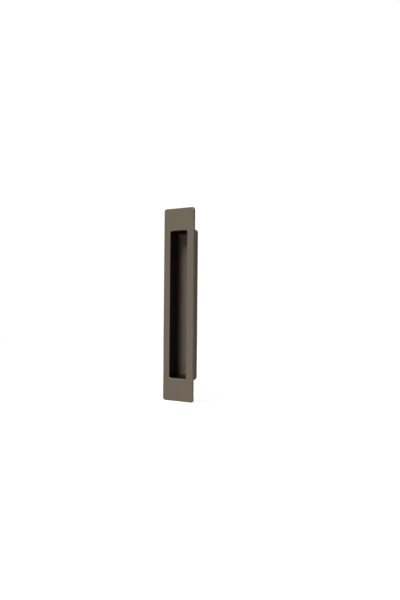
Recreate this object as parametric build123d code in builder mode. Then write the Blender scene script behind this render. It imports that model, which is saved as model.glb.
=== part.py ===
"""Rectangular flush pull: a cast face plate and finger cup in one piece, and its two fixing screws.

Millimetres. +X is to the right, +Y backwards, the way the cup goes in, and +Z up. The back of
the face plate is the seat, the plane y = 0, and the finger opening faces -Y. The origin is at
the middle of the seat.
"""

from build123d import *

import os
from math import radians, tan

os.makedirs("parts", exist_ok=True)

# Face plate, which stays proud by its own thickness
plate_length = 210.0
plate_width = 44.0
plate_thickness = 2.5
plate_corner_radius = 3.0
plate_edge_radius = 0.4

# Finger pocket, sunk from the front of the plate and drawn in towards its floor. Its corners grow
# rounder with depth, which leaves room for a wide fillet round the floor
pocket_length = 161.0
pocket_width = 25.0
pocket_depth = 15.0
pocket_corner_radius = 2.0
pocket_deep_corner_radius = 5.5
pocket_floor_radius = 3.5
pocket_mouth_radius = 0.8
draft_angle = 1.0

# Cup wall round the pocket, behind the plate
side_wall = 2.0
floor_wall = 2.5
cup_back_radius = 3.0
cup_root_radius = 1.0

# Countersunk wood screws through the pocket's floor: thread_diameter is over the thread's crest
screw_spacing = 140.0
screw_length = 16.0
thread_diameter = 3.5
neck_diameter = 2.6
neck_length = 0.9
head_diameter = 7.0
head_edge = 0.3
countersink_angle = 90.0
tip_length = 4.0
tip_flat_diameter = 0.5

# Cross recess in a screw's head
recess_width = 4.2
recess_foot_width = 1.8
recess_depth = 1.7
recess_slot = 0.9

# Clearances between a screw and its hole, and how far its head lies below the pocket's floor
hole_clearance = 0.25
head_seat_clearance = 0.05
head_setback = 0.1

# Depths behind the seat, and the outlines that follow from the pocket's
floor_depth = pocket_depth - plate_thickness
cup_depth = floor_depth + floor_wall
mouth_draw = plate_thickness * tan(radians(draft_angle))
floor_draw = pocket_depth * tan(radians(draft_angle))
cup_width = pocket_width - 2 * mouth_draw + 2 * side_wall
cup_length = pocket_length - 2 * mouth_draw + 2 * side_wall
cup_corner_radius = pocket_corner_radius + side_wall
countersink_radius = head_diameter / 2 + head_edge + head_setback + head_seat_clearance

# Planes across the object: the pocket is drawn backwards from the plate's front
seat_plane = Plane(origin=(0, 0, 0), x_dir=(1, 0, 0), z_dir=(0, 1, 0))
plate_front = seat_plane.offset(-plate_thickness)
pocket_floor = Plane(origin=(0, floor_depth, 0), x_dir=(1, 0, 0), z_dir=(0, -1, 0))

# Body: plate, then the cup behind it, then the pocket through both
with BuildPart() as pull_body:
    with BuildSketch(plate_front):
        RectangleRounded(plate_width, plate_length, plate_corner_radius)
    extrude(amount=plate_thickness)
    fillet(pull_body.faces().sort_by(Axis.Y)[0].edges(), radius=plate_edge_radius)

    with BuildSketch(seat_plane):
        RectangleRounded(cup_width, cup_length, cup_corner_radius)
    extrude(amount=cup_depth, taper=draft_angle)
    fillet(pull_body.faces().sort_by(Axis.Y)[-1].edges(), radius=cup_back_radius)
    seat = pull_body.faces().filter_by(Axis.Y).sort_by(Axis.Y)[-2]
    fillet(seat.inner_wires()[0].edges(), radius=cup_root_radius)

    with BuildSketch(plate_front):
        RectangleRounded(pocket_width, pocket_length, pocket_corner_radius)
    with BuildSketch(seat_plane.offset(floor_depth)):
        RectangleRounded(
            pocket_width - 2 * floor_draw,
            pocket_length - 2 * floor_draw,
            pocket_deep_corner_radius,
        )
    loft(ruled=True, mode=Mode.SUBTRACT)
    mouth = pull_body.faces().sort_by(Axis.Y)[0].inner_wires()[0]
    fillet(mouth.edges(), radius=pocket_mouth_radius)
    floor = pull_body.faces().filter_by(Axis.Y).sort_by(Axis.Y)[-2]
    fillet(floor.outer_wire().edges(), radius=pocket_floor_radius)

    with Locations(pocket_floor):
        with Locations((0, screw_spacing / 2), (0, -screw_spacing / 2)):
            CounterSinkHole(
                radius=thread_diameter / 2 + hole_clearance,
                counter_sink_radius=countersink_radius,
                counter_sink_angle=countersink_angle,
            )

pull_body.part.label = "pull_body"
export_step(pull_body.part, "parts/pull_body.step")

# Screws: head, neck, thread as a plain cylinder and point, with a cross recess in the head
head_top = floor_depth + head_setback
neck_start = head_edge + (head_diameter - neck_diameter) / 2 / tan(radians(countersink_angle / 2))
thread_step = (thread_diameter - neck_diameter) / 2
thread_start = neck_start + neck_length + thread_step

for name, height in (
    ("upper_fixing_screw", screw_spacing / 2),
    ("lower_fixing_screw", -screw_spacing / 2),
):
    half_section = Plane(origin=(0, head_top, height), x_dir=(0, 1, 0), z_dir=(1, 0, 0))
    with BuildPart() as fixing_screw:
        with BuildSketch(half_section):
            with BuildLine():
                Polyline(
                    (0, 0),
                    (0, head_diameter / 2),
                    (head_edge, head_diameter / 2),
                    (neck_start, neck_diameter / 2),
                    (neck_start + neck_length, neck_diameter / 2),
                    (thread_start, thread_diameter / 2),
                    (screw_length - tip_length, thread_diameter / 2),
                    (screw_length, tip_flat_diameter / 2),
                    (screw_length, 0),
                    close=True,
                )
            make_face()
        revolve(axis=Axis((0, head_top, height), (0, 1, 0)))

        for turn in (0, 90):
            slot_plane = half_section.rotated((turn, 0, 0))
            with BuildSketch(slot_plane):
                with BuildLine():
                    Polyline(
                        (0, -recess_width / 2),
                        (0, recess_width / 2),
                        (recess_depth, recess_foot_width / 2),
                        (recess_depth, -recess_foot_width / 2),
                        close=True,
                    )
                make_face()
            extrude(amount=recess_slot / 2, both=True, mode=Mode.SUBTRACT)

    fixing_screw.part.label = name
    export_step(fixing_screw.part, f"parts/{name}.step")
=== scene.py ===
"""Looks of a rectangular flush pull in satin bronze, dressed on its own fixed solids.

Metres. +X is to the right, +Y backwards and +Z up, and the back of the face plate is y = 0.
"""

from math import pi, radians

import bmesh
import bpy
import numpy as np
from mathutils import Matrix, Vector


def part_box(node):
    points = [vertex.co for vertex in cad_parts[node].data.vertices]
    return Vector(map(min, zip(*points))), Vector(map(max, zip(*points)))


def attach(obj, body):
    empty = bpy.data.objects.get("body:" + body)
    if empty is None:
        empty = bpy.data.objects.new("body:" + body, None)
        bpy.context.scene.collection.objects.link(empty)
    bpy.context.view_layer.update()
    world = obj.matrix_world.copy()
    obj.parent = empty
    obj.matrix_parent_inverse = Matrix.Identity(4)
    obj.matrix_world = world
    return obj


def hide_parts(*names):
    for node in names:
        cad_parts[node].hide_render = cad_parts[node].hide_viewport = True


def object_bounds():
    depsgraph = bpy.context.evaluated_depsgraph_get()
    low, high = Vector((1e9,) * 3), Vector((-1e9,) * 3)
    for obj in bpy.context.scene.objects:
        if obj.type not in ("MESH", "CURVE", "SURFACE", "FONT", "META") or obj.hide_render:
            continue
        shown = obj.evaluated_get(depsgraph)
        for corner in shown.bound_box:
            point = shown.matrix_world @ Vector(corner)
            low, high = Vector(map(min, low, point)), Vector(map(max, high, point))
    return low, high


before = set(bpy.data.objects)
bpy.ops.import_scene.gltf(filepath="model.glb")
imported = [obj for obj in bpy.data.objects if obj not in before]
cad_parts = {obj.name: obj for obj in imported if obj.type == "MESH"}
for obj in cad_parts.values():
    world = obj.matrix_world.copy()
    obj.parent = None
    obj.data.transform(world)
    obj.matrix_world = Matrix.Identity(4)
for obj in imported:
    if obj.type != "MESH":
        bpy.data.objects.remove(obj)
cad_low, cad_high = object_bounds()


# Pull body: the face plate and the finger cup behind it, cast in brass as one piece, blasted to an
# even satin and toned dark. The pocket's walls are coloured darker as painted shade, darkest at its
# ends, and hands rub the tone thin along the plate's rim. The cup's outside stays as cast.
body_low, body_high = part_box("pull_body")
plate_front = body_low[1]
plate_half_width = body_high[0]
plate_half_length = body_high[2]
plate_corner = 0.003
rim_round = 0.0004
side_margin = 0.0095
end_margin = 0.0245
mouth_half_width = plate_half_width - side_margin
mouth_half_length = plate_half_length - end_margin
mouth_corner = 0.002
mouth_round = 0.0008
cup_wall = 0.002
floor_wall = 0.0025
pocket_floor = body_high[1] - floor_wall

bronze_warm = (0.168, 0.134, 0.105, 1.0)
bronze_olive = (0.158, 0.135, 0.104, 1.0)
bronze_rubbed = (0.235, 0.188, 0.142, 1.0)
bronze_cast = (0.112, 0.092, 0.074, 1.0)
# Painted shade colours: the pocket's walls, and darker still its two ends
bronze_painted_shade = (0.034, 0.024, 0.016, 1.0)
bronze_painted_end_shade = (0.017, 0.012, 0.008, 1.0)

# Grains a metre, across and along the plate, and how many finer layers a pattern has
cloud_grains = (42.0, 24.0)
cloud_detail = 2.0
mottle_grains = (420.0, 300.0)
hairline_grains = (5200.0, 90.0)
pebble_grains = (1500.0, 1500.0)
fine_detail = 3.0

# Where the cup's outside begins: shares of its walls, and a short blend at the seat
outside_from = 0.3
outside_to = 0.7
seat_blend = 0.0001
cast_share = 0.85

# Rubbed rim: how far it reaches in from the plate's outline and back, and how much of it is worn
rub_start = 2.5 * rim_round
rub_full = 0.5 * rim_round
rub_back = 0.2 * plate_front
rub_front = 0.9 * plate_front
rub_patches = (0.42, 0.60)
rub_share = 0.45

# Painted shade in the pocket: it starts in the mouth's round along the sides and deeper at the two
# ends, reaches in from the mouth's outline, and thins towards the pocket's floor; it is darkest at the ends
side_start = (plate_front, plate_front + 0.5 * mouth_round)
end_start = (plate_front + 0.0003, plate_front + 0.0016)
end_zone = (mouth_half_length - 0.0020, mouth_half_length - 0.0005)
sunk_outside = 1.5 * mouth_round
painted_shade_reach = 0.0045
painted_shade_full = 0.0014
painted_shade_fade = 0.006
painted_shade_thinning = 0.2
painted_shade_share = 0.95
end_shade_reach = 0.0046
end_shade_full = 0.0020
end_shade_share = 0.95

# How much each pattern does to the tone, the roughness and the relief
cloud_patches = (0.38, 0.62)
tone_least = 0.88
tone_mottle = 0.12
tone_grain = 0.12
satin_roughness = 0.68
cast_roughness = 0.74
rubbed_polish = 0.10
roughness_hairline = 0.06
roughness_mottle = 0.10
satin_hairline = 0.45
satin_pebble = 0.35
cast_pebble = 1.4
relief_strength = 0.6
relief_height = 0.0001


class Shade:
    """One output socket of a node tree. Arithmetic on it, from either side, adds Math nodes."""

    def __init__(self, tree, socket=None):
        self.tree = tree
        self.socket = socket

    def node(self, kind, settings, inputs, output=0):
        """Adds a node of any kind: its settings first, then a value or a link for each input."""
        made = self.tree.nodes.new(kind)
        for name, value in settings.items():
            setattr(made, name, value)
        for name, value in inputs.items():
            if isinstance(value, Shade):
                self.tree.links.new(value.socket, made.inputs[name])
            else:
                made.inputs[name].default_value = value
        return Shade(self.tree, made.outputs[output])

    def feed(self, shader, name):
        """Links this output to one input of a shader."""
        self.tree.links.new(self.socket, shader.inputs[name])

    def math(self, operation, *values):
        """A Math node on the given values, in their order."""
        return self.node("ShaderNodeMath", {"operation": operation}, dict(enumerate(values)))

    def __add__(self, other):
        return self.math("ADD", self, other)

    def __radd__(self, other):
        return self.math("ADD", other, self)

    def __sub__(self, other):
        return self.math("SUBTRACT", self, other)

    def __rsub__(self, other):
        return self.math("SUBTRACT", other, self)

    def __mul__(self, other):
        return self.math("MULTIPLY", self, other)

    def __rmul__(self, other):
        return self.math("MULTIPLY", other, self)

    def __pow__(self, other):
        return self.math("POWER", self, other)

    def __abs__(self):
        return self.math("ABSOLUTE", self)

    def least(self, other):
        return self.math("MINIMUM", self, other)

    def most(self, other):
        return self.math("MAXIMUM", self, other)

    def ramp(self, start, end):
        """0 at start and 1 at end, with a smooth S between them. Start may be the larger."""
        settings = {"interpolation_type": "SMOOTHSTEP"}
        return self.node("ShaderNodeMapRange", settings, {"Value": self, "From Min": start, "From Max": end})

    def blend(self, low, high):
        """The colour low where this is 0 and the colour high where it is 1."""
        return self.node("ShaderNodeMix", {"data_type": "RGBA"}, {0: self, 6: low, 7: high}, 2)

    def noise(self, grains, detail):
        """Noise from 0 to 1 on this point, with that many grains a metre across and along Z."""
        across, along = grains
        scaled = self.node("ShaderNodeMapping", {}, {"Vector": self, "Scale": (across, across, along)})
        return self.node("ShaderNodeTexNoise", {}, {"Vector": scaled, "Scale": 1.0, "Detail": detail})

    def relief(self, strength, height):
        """The normal of a surface that rises by this, 1 being the height given in metres."""
        return self.node("ShaderNodeBump", {}, {"Height": self, "Strength": strength, "Distance": height})


def new_finish(name):
    """A material with its Principled shader, and the Object coordinates as a point and as x, y, z."""
    finish = bpy.data.materials.new(name)
    finish.use_nodes = True
    shader = next(n for n in finish.node_tree.nodes if n.type == "BSDF_PRINCIPLED")
    point = Shade(finish.node_tree).node("ShaderNodeTexCoord", {}, {}, "Object")
    axes = [point.node("ShaderNodeSeparateXYZ", {}, {"Vector": point}, axis) for axis in "XYZ"]
    return finish, shader, point, axes


def from_outline(x, z, half_width, half_length, corner):
    """Distance outside a rounded rectangle, less than 0 inside it: the length of what sticks out
    past its straight core, plus the nearer side's depth where nothing does, less the corner."""
    side = abs(x) - (half_width - corner)
    end = abs(z) - (half_length - corner)
    past = (side.most(0.0) ** 2.0 + end.most(0.0) ** 2.0) ** 0.5
    return past + side.most(end).least(0.0) - corner


def cup_outside(from_mouth, y):
    """1 on the cup's outside and 0 elsewhere: past the middle of a wall, and behind the seat."""
    past_wall = from_mouth.ramp(outside_from * cup_wall, outside_to * cup_wall)
    past_floor = y.ramp(pocket_floor + outside_from * floor_wall, pocket_floor + outside_to * floor_wall)
    return past_wall.most(past_floor) * y.ramp(-seat_blend, seat_blend)


def rubbed_rim(from_rim, y, mottle):
    """A band just inside the plate's outline, strongest at its front edge, in worn patches."""
    band = from_rim.ramp(-rub_start, -rub_full) * y.ramp(rub_back, rub_front)
    return band * mottle.ramp(*rub_patches) * rub_share


def painted_pocket_shade(from_mouth, y, z, inside):
    """Two masks of painted shade inside the pocket: near its walls, thinner at the floor, and near its two
    ends.
    """
    at_end = abs(z).ramp(*end_zone)
    sunk = y.ramp(*side_start) * (1.0 - at_end) + y.ramp(*end_start) * at_end
    sunk = sunk * inside * from_mouth.ramp(sunk_outside, mouth_round)
    thinned = 1.0 - painted_shade_thinning * y.ramp(pocket_floor - painted_shade_fade, pocket_floor)
    wall_shade = sunk * from_mouth.ramp(-painted_shade_reach, -painted_shade_full) * thinned
    end_shade = sunk * abs(z).ramp(mouth_half_length - end_shade_reach, mouth_half_length - end_shade_full)
    return wall_shade, end_shade


def satin_bronze():
    """Toned brass: satin on the plate and in the pocket, pebbled on the cup's outside."""
    finish, shader, point, (x, y, z) = new_finish("satin_bronze")
    cloud = point.noise(cloud_grains, cloud_detail)
    mottle = point.noise(mottle_grains, fine_detail)
    hairline = point.noise(hairline_grains, fine_detail)
    pebble = point.noise(pebble_grains, fine_detail)

    from_rim = from_outline(x, z, plate_half_width, plate_half_length, plate_corner)
    from_mouth = from_outline(x, z, mouth_half_width, mouth_half_length, mouth_corner)
    as_cast = cup_outside(from_mouth, y)
    satin = 1.0 - as_cast
    rubbed = rubbed_rim(from_rim, y, mottle)
    wall_shade, end_shade = painted_pocket_shade(from_mouth, y, z, satin)

    tone = cloud.ramp(*cloud_patches).blend(bronze_warm, bronze_olive)
    # Painted shade: the pocket's walls, and darker its two ends, are coloured dark for the shade inside it
    tone = (wall_shade * painted_shade_share).blend(tone, bronze_painted_shade)
    tone = (end_shade * end_shade_share).blend(tone, bronze_painted_end_shade)
    tone = rubbed.blend(tone, bronze_rubbed)
    tone = (as_cast * cast_share).blend(tone, bronze_cast)
    grain = hairline * satin + pebble * as_cast
    shade = tone_least + tone_mottle * mottle + tone_grain * grain
    tone = tone.node("ShaderNodeVectorMath", {"operation": "SCALE"}, {0: tone, "Scale": shade})
    tone.feed(shader, "Base Color")

    roughness = satin_roughness + (cast_roughness - satin_roughness) * as_cast - rubbed_polish * rubbed
    roughness = roughness + roughness_hairline * (hairline - 0.5) + roughness_mottle * (mottle - 0.5)
    roughness.feed(shader, "Roughness")

    height = (satin_hairline * hairline + satin_pebble * pebble) * satin + cast_pebble * pebble * as_cast
    height.relief(relief_strength, relief_height).feed(shader, "Normal")
    shader.inputs["Metallic"].default_value = 1.0
    return finish


pull_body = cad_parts["pull_body"]
pull_body.data.materials.clear()
pull_body.data.materials.append(satin_bronze())


# Fixing screws: two countersunk wood screws with a cross recess, cold formed in steel, with a rolled
# thread and the body's tone, worn bare on the thread's crest. They go backwards through the
# pocket's floor, 140 mm apart.
head_edge = 0.0003
head_break = 0.00008
neck_radius = 0.0013
neck_length = 0.0009
thread_crest = 0.00175
thread_root = 0.0012
thread_pitch = 0.0016
thread_fade = 0.0008
thread_ridge = 0.25
thread_flat = 0.04
rings_per_pitch = 24
tip_length = 0.004
tip_radius = 0.00025
recess_radius = 0.0021
recess_foot = 0.0009
recess_depth = 0.0017
recess_half_slot = 0.00045
recess_rings = 4
crossing_rings = 3
slot_columns = 5
land_columns = 13
weld_distance = 1e-6
sharp_angle = 32.0

steel_toned = (0.170, 0.138, 0.108, 1.0)
steel_bare = (0.300, 0.255, 0.215, 1.0)
# Painted shade colour for the screw's cross recess
steel_recess_shade = (0.060, 0.048, 0.038, 1.0)
head_roughness = 0.62
thread_roughness = 0.42
steel_grains = (900.0, 900.0)
ring_pitch = 0.00022

# Masks on the screw, each from nothing to its full strength: depths behind the head's top, or radii
deep_from = (0.0001, 0.0012)
deep_to = (0.0026, 0.0022)
deep_radius = (0.0024, 0.0020)
thread_from = (0.0026, 0.0032)
worn_from = (0.0030, 0.0036)
worn_radius = (0.9 * thread_crest, thread_crest)
worn_patches = (0.35, 0.55)
worn_share = 0.7
steel_mottle = 0.16
deep_dulling = 0.10
worn_polish = 0.08
ring_height = 0.5
steel_strength = 0.15
steel_height = 0.00002


def screw_grid(head_radius, length):
    """Radius, depth and angle of a screw's surface, as arrays of rings by columns.

    The rings run from the middle of the recess over the head, down the cone and neck, along the
    thread and round the tip. Each quarter turn has columns across a slot and columns across the
    land beside it. The slot's half angle is asin(half slot / radius), so both its walls are flat.
    The thread is a ridge whose place along the screw grows by one pitch for each turn. It rises
    between thread_ridge and thread_flat, both shares of a pitch off its middle.
    """
    inner = recess_half_slot * 2 ** 0.5
    top_radius = np.concatenate([
        [0.0, inner / 2, inner, inner],
        np.linspace(recess_foot, recess_radius, recess_rings),
        [(recess_radius + head_radius) / 2, head_radius - head_break],
    ])
    top_slot = recess_depth * np.clip((recess_radius - top_radius) / (recess_radius - recess_foot), 0, 1)
    top_land = np.where(np.arange(len(top_radius)) < crossing_rings, recess_depth, 0.0)

    neck_start = head_edge + head_radius - neck_radius
    neck_end = neck_start + neck_length
    side_radius = np.array([head_radius, head_radius, neck_radius, neck_radius])
    side_depth = np.array([head_break, head_edge, neck_start, neck_end])

    count = int((length - neck_end) / thread_pitch * rings_per_pitch)
    run = np.linspace(neck_end, length, count + 1)[1:]

    ring_radius = np.concatenate([top_radius, side_radius, np.zeros(len(run)), [0.0]])
    slot_depth = np.concatenate([top_slot, side_depth, run, [length]])
    land_depth = np.concatenate([top_land, side_depth, run, [length]])

    half_angle = np.arcsin(recess_half_slot / np.clip(ring_radius, inner, recess_radius))
    half_angle[len(top_radius):] = half_angle[len(top_radius) - 1]
    across_slot = np.linspace(-1, 1, slot_columns) * half_angle[:, None]
    across_land = half_angle[:, None] + np.linspace(0, 1, land_columns) * (pi / 2 - 2 * half_angle[:, None])
    quarter = np.concatenate([across_slot, across_land], axis=1)
    angle = np.concatenate([quarter + turn * pi / 2 for turn in range(4)], axis=1)

    in_slot = np.tile(np.arange(quarter.shape[1]) < slot_columns, 4)
    depth = np.where(in_slot, slot_depth[:, None], land_depth[:, None])
    radius = np.repeat(ring_radius[:, None], angle.shape[1], axis=1)

    taper = np.clip((length - run) / tip_length, 0, 1)
    crest = tip_radius + (thread_crest - tip_radius) * taper
    root = tip_radius + (thread_root - tip_radius) * taper
    rise = np.clip((run - neck_end) / thread_fade, 0, 1)
    phase = (run[:, None] / thread_pitch - angle[-1] / (2 * pi)) % 1.0
    ridge = np.clip((thread_ridge - abs(phase - 0.5)) / (thread_ridge - thread_flat), 0, 1)
    radius[-len(run) - 1:-1] = root[:, None] + ((crest - root) * rise)[:, None] * ridge
    return radius, depth, angle


def closed_mesh(name, points):
    """A mesh over a grid of points whose columns close on themselves, doubles merged, faces outward."""
    rings, columns = points.shape[:2]
    first = np.arange(rings - 1)[:, None] * columns + np.arange(columns)
    after = np.arange(rings - 1)[:, None] * columns + (np.arange(columns) + 1) % columns
    quads = np.stack([first, after, after + columns, first + columns], axis=-1).reshape(-1, 4)
    mesh = bpy.data.meshes.new(name)
    mesh.from_pydata(points.reshape(-1, 3).tolist(), [], quads.tolist())
    work = bmesh.new()
    work.from_mesh(mesh)
    bmesh.ops.remove_doubles(work, verts=work.verts, dist=weld_distance)
    bmesh.ops.dissolve_degenerate(work, edges=work.edges, dist=weld_distance)
    bmesh.ops.recalc_face_normals(work, faces=work.faces)
    work.to_mesh(mesh)
    work.free()
    mesh.shade_smooth()
    mesh.set_sharp_from_angle(angle=radians(sharp_angle))
    return mesh


def toned_steel(centre_height, head_top):
    """Toned screw steel: turned rings on the head, a recess darkened as painted shade, and thread crests
    worn bare.
    """
    finish, shader, point, (x, y, z) = new_finish("toned_steel")
    behind = y - head_top
    radius = (x ** 2.0 + (abs(z) - centre_height) ** 2.0) ** 0.5
    mottle = point.noise(steel_grains, fine_detail)
    rings = radius.math("SINE", radius * (2 * pi / ring_pitch))
    deep = behind.ramp(*deep_from) * behind.ramp(*deep_to) * radius.ramp(*deep_radius)
    worn = behind.ramp(*worn_from) * radius.ramp(*worn_radius) * mottle.ramp(*worn_patches) * worn_share

    # The cross recess is coloured dark as painted shade
    tone = worn.blend(deep.blend(steel_toned, steel_recess_shade), steel_bare)
    tone.feed(shader, "Base Color")
    roughness = head_roughness + (thread_roughness - head_roughness) * behind.ramp(*thread_from)
    roughness = roughness + steel_mottle * (mottle - 0.5) + deep_dulling * deep - worn_polish * worn
    roughness.feed(shader, "Roughness")
    (ring_height * rings + mottle).relief(steel_strength, steel_height).feed(shader, "Normal")
    shader.inputs["Metallic"].default_value = 1.0
    return finish


screw_boxes = {place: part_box(f"{place}_fixing_screw") for place in ("upper", "lower")}
upper_low, upper_high = screw_boxes["upper"]
screw_finish = toned_steel((upper_low[2] + upper_high[2]) / 2, upper_low[1])
for place, (low, high) in screw_boxes.items():
    centre = (low + high) / 2
    radius, depth, angle = screw_grid((high[0] - low[0]) / 2, high[1] - low[1])
    across = centre[0] + radius * np.sin(angle)
    upward = centre[2] + radius * np.cos(angle)
    mesh = closed_mesh(f"{place}_screw", np.stack([across, low[1] + depth, upward], axis=-1))
    mesh.materials.append(screw_finish)
    screw = bpy.data.objects.new(f"{place}_screw", mesh)
    bpy.context.scene.collection.objects.link(screw)
    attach(screw, "root")
    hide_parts(f"{place}_fixing_screw")


# Floor: a plain pale sheet under the plate's lower edge, which isn't part of the object. The camera
# and the metal see it partly as white light, and wholly so far away, where it meets the backdrop.
floor_half_size = 3.0
floor_colour = (0.9, 0.9, 0.9, 1.0)
floor_roughness = 0.9
floor_white = 0.72
white_from = 0.3
white_to = 1.6

floor_corners = np.array([(-1, -1, 0), (1, -1, 0), (1, 1, 0), (-1, 1, 0)]) * floor_half_size
floor_corners[:, 2] = cad_low[2]
floor_mesh = bpy.data.meshes.new("floor")
floor_mesh.from_pydata(floor_corners.tolist(), [], [(0, 1, 2, 3)])
floor = bpy.data.objects.new("floor", floor_mesh)
bpy.context.scene.collection.objects.link(floor)

floor_finish, floor_shader, floor_point, _ = new_finish("pale_floor")
floor_shader.inputs["Base Color"].default_value = floor_colour
floor_shader.inputs["Roughness"].default_value = floor_roughness
floor_shader.inputs["Specular IOR Level"].default_value = 0.0
camera_ray, glossy_ray, transmission_ray = [
    floor_point.node("ShaderNodeLightPath", {}, {}, f"Is {kind} Ray")
    for kind in ("Camera", "Glossy", "Transmission")
]
away = floor_point.node("ShaderNodeVectorMath", {"operation": "LENGTH"}, {0: floor_point}, "Value")
white = floor_white + (1.0 - floor_white) * away.ramp(white_from, white_to)
seen = (camera_ray + glossy_ray + transmission_ray) * white
lit_sheet = Shade(floor_point.tree, floor_shader.outputs["BSDF"])
white_sheet = floor_point.node("ShaderNodeEmission", {}, {"Strength": 1.0})
sheet = floor_point.node("ShaderNodeMixShader", {}, {0: seen, 1: lit_sheet, 2: white_sheet})
sheet.feed(floor_point.tree.nodes["Material Output"], "Surface")
floor_mesh.materials.append(floor_finish)


# Studio: a white backdrop behind the object and a dimmer room in front of it. A large soft lamp
# above the front left lights the plate and reaches into the right of the pocket, and a weaker one
# behind shows the cup's back.
backdrop_side = (-0.674, 0.739, 0.0)
backdrop_from = 0.1
backdrop_to = 0.6
room_level = 0.15
diffuse_level = 0.75
white_level = 1.05
white_light = (1.0, 1.0, 1.0, 1.0)

world = bpy.data.worlds.new("studio")
bpy.context.scene.world = world
world.use_nodes = True
studio = Shade(world.node_tree)
direction = studio.node("ShaderNodeTexCoord", {}, {}, "Generated")
camera_ray = studio.node("ShaderNodeLightPath", {}, {}, "Is Camera Ray")
diffuse_ray = studio.node("ShaderNodeLightPath", {}, {}, "Is Diffuse Ray")
both_sides = {0: direction, 1: backdrop_side}
facing = studio.node("ShaderNodeVectorMath", {"operation": "DOT_PRODUCT"}, both_sides, "Value")
room = room_level + (1.0 - room_level) * facing.ramp(backdrop_from, backdrop_to)
level = camera_ray * white_level + diffuse_ray * diffuse_level + (1.0 - camera_ray - diffuse_ray) * room
sky = world.node_tree.nodes["Background"]
sky.inputs["Color"].default_value = white_light
level.feed(sky, "Strength")

lamp_distance = 4.5
key_azimuth = -20.0
key_height = 57.5
key_width = 1.6
key_length = 2.2
key_power = 382.0
rear_azimuth = 176.0
rear_height = 38.0
rear_width = 2.6
rear_length = 2.6
rear_power = 120.0


def soft_lamp(name, azimuth, height, width, length, power):
    """A rectangular lamp that aims at the origin, that many degrees round from the front and up."""
    lamp = bpy.data.lights.new(name, "AREA")
    lamp.shape = "RECTANGLE"
    lamp.size = width
    lamp.size_y = length
    lamp.energy = power
    stand = bpy.data.objects.new(name, lamp)
    stand.visible_camera = False
    swing, rise = radians(azimuth), radians(height)
    aim = np.array([np.sin(swing) * np.cos(rise), -np.cos(swing) * np.cos(rise), np.sin(rise)])
    stand.location = lamp_distance * aim
    stand.rotation_euler = stand.location.to_track_quat("Z", "Y").to_euler()
    bpy.context.scene.collection.objects.link(stand)


soft_lamp("key", key_azimuth, key_height, key_width, key_length, key_power)
soft_lamp("rear", rear_azimuth, rear_height, rear_width, rear_length, rear_power)


# Camera: a long lens nearly a metre away, to the right of the plate's front and level with its
# middle. Its place is in metres, its turn in degrees and its lens in millimetres.
camera_place = (0.6639, -0.6943, -0.0008)
camera_turn = (90.36, -0.49, 42.393)
camera_lens = 52.92

camera_data = bpy.data.cameras.new("camera")
camera_data.lens = camera_lens
camera = bpy.data.objects.new("camera", camera_data)
camera.location = camera_place
camera.rotation_euler = [radians(turn) for turn in camera_turn]
bpy.context.scene.collection.objects.link(camera)
bpy.context.scene.camera = camera
bpy.context.scene.view_settings.view_transform = "Standard"
